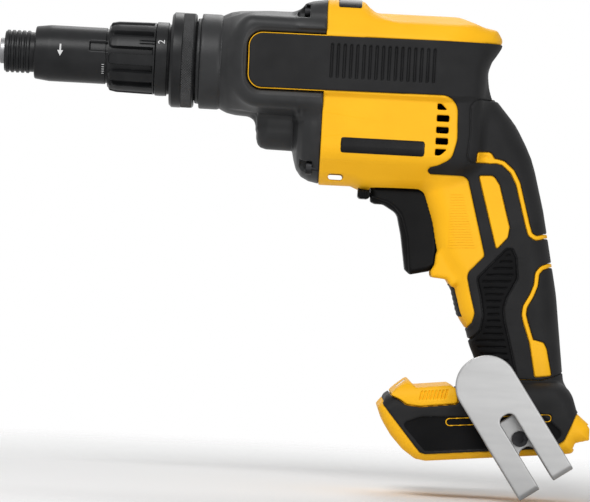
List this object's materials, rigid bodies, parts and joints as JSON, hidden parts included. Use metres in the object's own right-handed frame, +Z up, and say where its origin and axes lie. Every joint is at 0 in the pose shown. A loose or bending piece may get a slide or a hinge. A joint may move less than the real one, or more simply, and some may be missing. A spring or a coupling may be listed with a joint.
{
  "type": "drywall screwdriver",
  "caption": "Cordless pistol-grip drywall screwdriver: adjustable depth-stop nose, gear case, yellow shell with black grips, trigger, belt hook and slide-on battery foot.",
  "frame": {"origin": "centre of the nose tip's front face, on the spindle axis, with the depth stop in the middle of its travel", "axes": "+X back along the spindle from the nose, +Z up from the handle to the body, +Y to the tool's right side; the belt hook is on the -Y side"},
  "size_m": [0.3279, 0.088, 0.2645],
  "materials": {
    "yellow_shell": "satin moulded shell",
    "black_rubber": "matte moulded grip",
    "case_black": "dark satin casting",
    "nose_black": "dark satin moulding",
    "black_plastic": "fine matte moulding",
    "steel": "machined steel",
    "hook_steel": "brushed strip",
    "bronze": "sintered bush",
    "core_steel": "laminated core",
    "copper": "enamelled wire",
    "board": "circuit board",
    "lead_skin": "wire insulation",
    "clear": "clear lens",
    "plate_cast": "cast plate"
  },
  "bodies": {
    "tool": {"lock_clip": "steel", "gear_case": "case_black", "gear_case_screws": "steel", "front_bush": "bronze", "thrust_washer": "steel", "pinion_bush": "bronze", "front_motor_bearing": "steel", "rear_motor_bearing": "steel", "stator_core": "core_steel", "stator_windings": "copper", "sensor_board": "board", "bearing_plate": "plate_cast", "rear_bush": "bronze", "switch_body": "black_plastic", "lamp_cap": "yellow_shell", "lamp_lens": "clear", "lamp_board": "board", "terminal_block": "black_plastic", "terminal_blades": "copper", "control_module": "black_plastic", "battery_leads": "lead_skin", "motor_leads": "lead_skin", "housing_screws": "steel", "housing_left": "yellow_shell", "housing_right": "yellow_shell", "band_left": "black_rubber", "band_right": "black_rubber", "grip_left": "black_rubber", "grip_right": "black_rubber", "boot_left": "black_rubber", "boot_right": "black_rubber", "badge": "black_plastic", "belt_hook": "hook_steel", "hook_screw": "steel"},
    "nose_base": {"index_sleeve": "nose_black", "collar_clip": "steel"},
    "collar": {"depth_collar": "nose_black"},
    "nose": {"nosepiece": "nose_black", "nose_tip": "steel"},
    "lock": {"lock_ring": "nose_black"},
    "carrier": {"spindle_bearing": "steel"},
    "spindle": {"spindle": "steel", "spindle_clip": "steel", "clutch_cone": "steel", "clutch_spring": "steel", "bit_holder": "steel", "bit_magnet": "steel"},
    "gear": {"drive_gear": "steel", "gear_bush": "bronze"},
    "rotor": {"motor_shaft": "steel", "motor_pinion": "steel", "rotor_core": "core_steel", "motor_fan": "black_plastic"},
    "trigger": {"trigger": "black_plastic", "trigger_spring": "steel"},
    "button": {"reversing_button": "black_plastic"}
  },
  "joints": [
    {"name": "nose_pull", "type": "slide", "parent": "tool", "child": "nose_base", "axis": [-1, 0, 0], "range_m": [0, 0.085]},
    {"name": "collar_turn", "type": "hinge", "parent": "nose_base", "child": "collar", "pos_m": [0.07, 0, 0], "axis": [1, 0, 0], "range_deg": [-361, 361]},
    {"name": "depth_slide", "type": "slide", "parent": "nose_base", "child": "nose", "axis": [1, 0, 0], "range_m": [-0.004, 0.004]},
    {"name": "lock_turn", "type": "hinge", "parent": "tool", "child": "lock", "pos_m": [0.099, 0, 0], "axis": [1, 0, 0], "range_deg": [0, 30]},
    {"name": "spindle_push", "type": "slide", "parent": "tool", "child": "carrier", "axis": [1, 0, 0], "range_m": [0, 0.002], "stiffness_N_per_m": 1500, "springref_m": -0.004, "deforming": ["clutch_spring"]},
    {"name": "spindle_spin", "type": "hinge", "parent": "carrier", "child": "spindle", "pos_m": [0.13, 0, 0], "axis": [1, 0, 0], "continuous": true},
    {"name": "motor_spin", "type": "hinge", "parent": "tool", "child": "rotor", "pos_m": [0.2, 0, -0.0345], "axis": [1, 0, 0], "continuous": true},
    {"name": "gear_spin", "type": "hinge", "parent": "tool", "child": "gear", "pos_m": [0.17, 0, 0], "axis": [1, 0, 0], "continuous": true},
    {"name": "trigger_pull", "type": "slide", "parent": "tool", "child": "trigger", "axis": [1, 0, 0], "range_m": [0, 0.007], "stiffness_N_per_m": 700, "springref_m": -0.005, "deforming": ["trigger_spring"]},
    {"name": "button_slide", "type": "slide", "parent": "tool", "child": "button", "axis": [0, 1, 0], "range_m": [-0.0035, 0.0035]}
  ],
  "couplings": [
    {"joint": "collar_turn", "follows": "depth_slide", "rad_per_m": 1570.8},
    {"joint": "gear_spin", "follows": "motor_spin", "ratio": -0.21053}
  ]
}
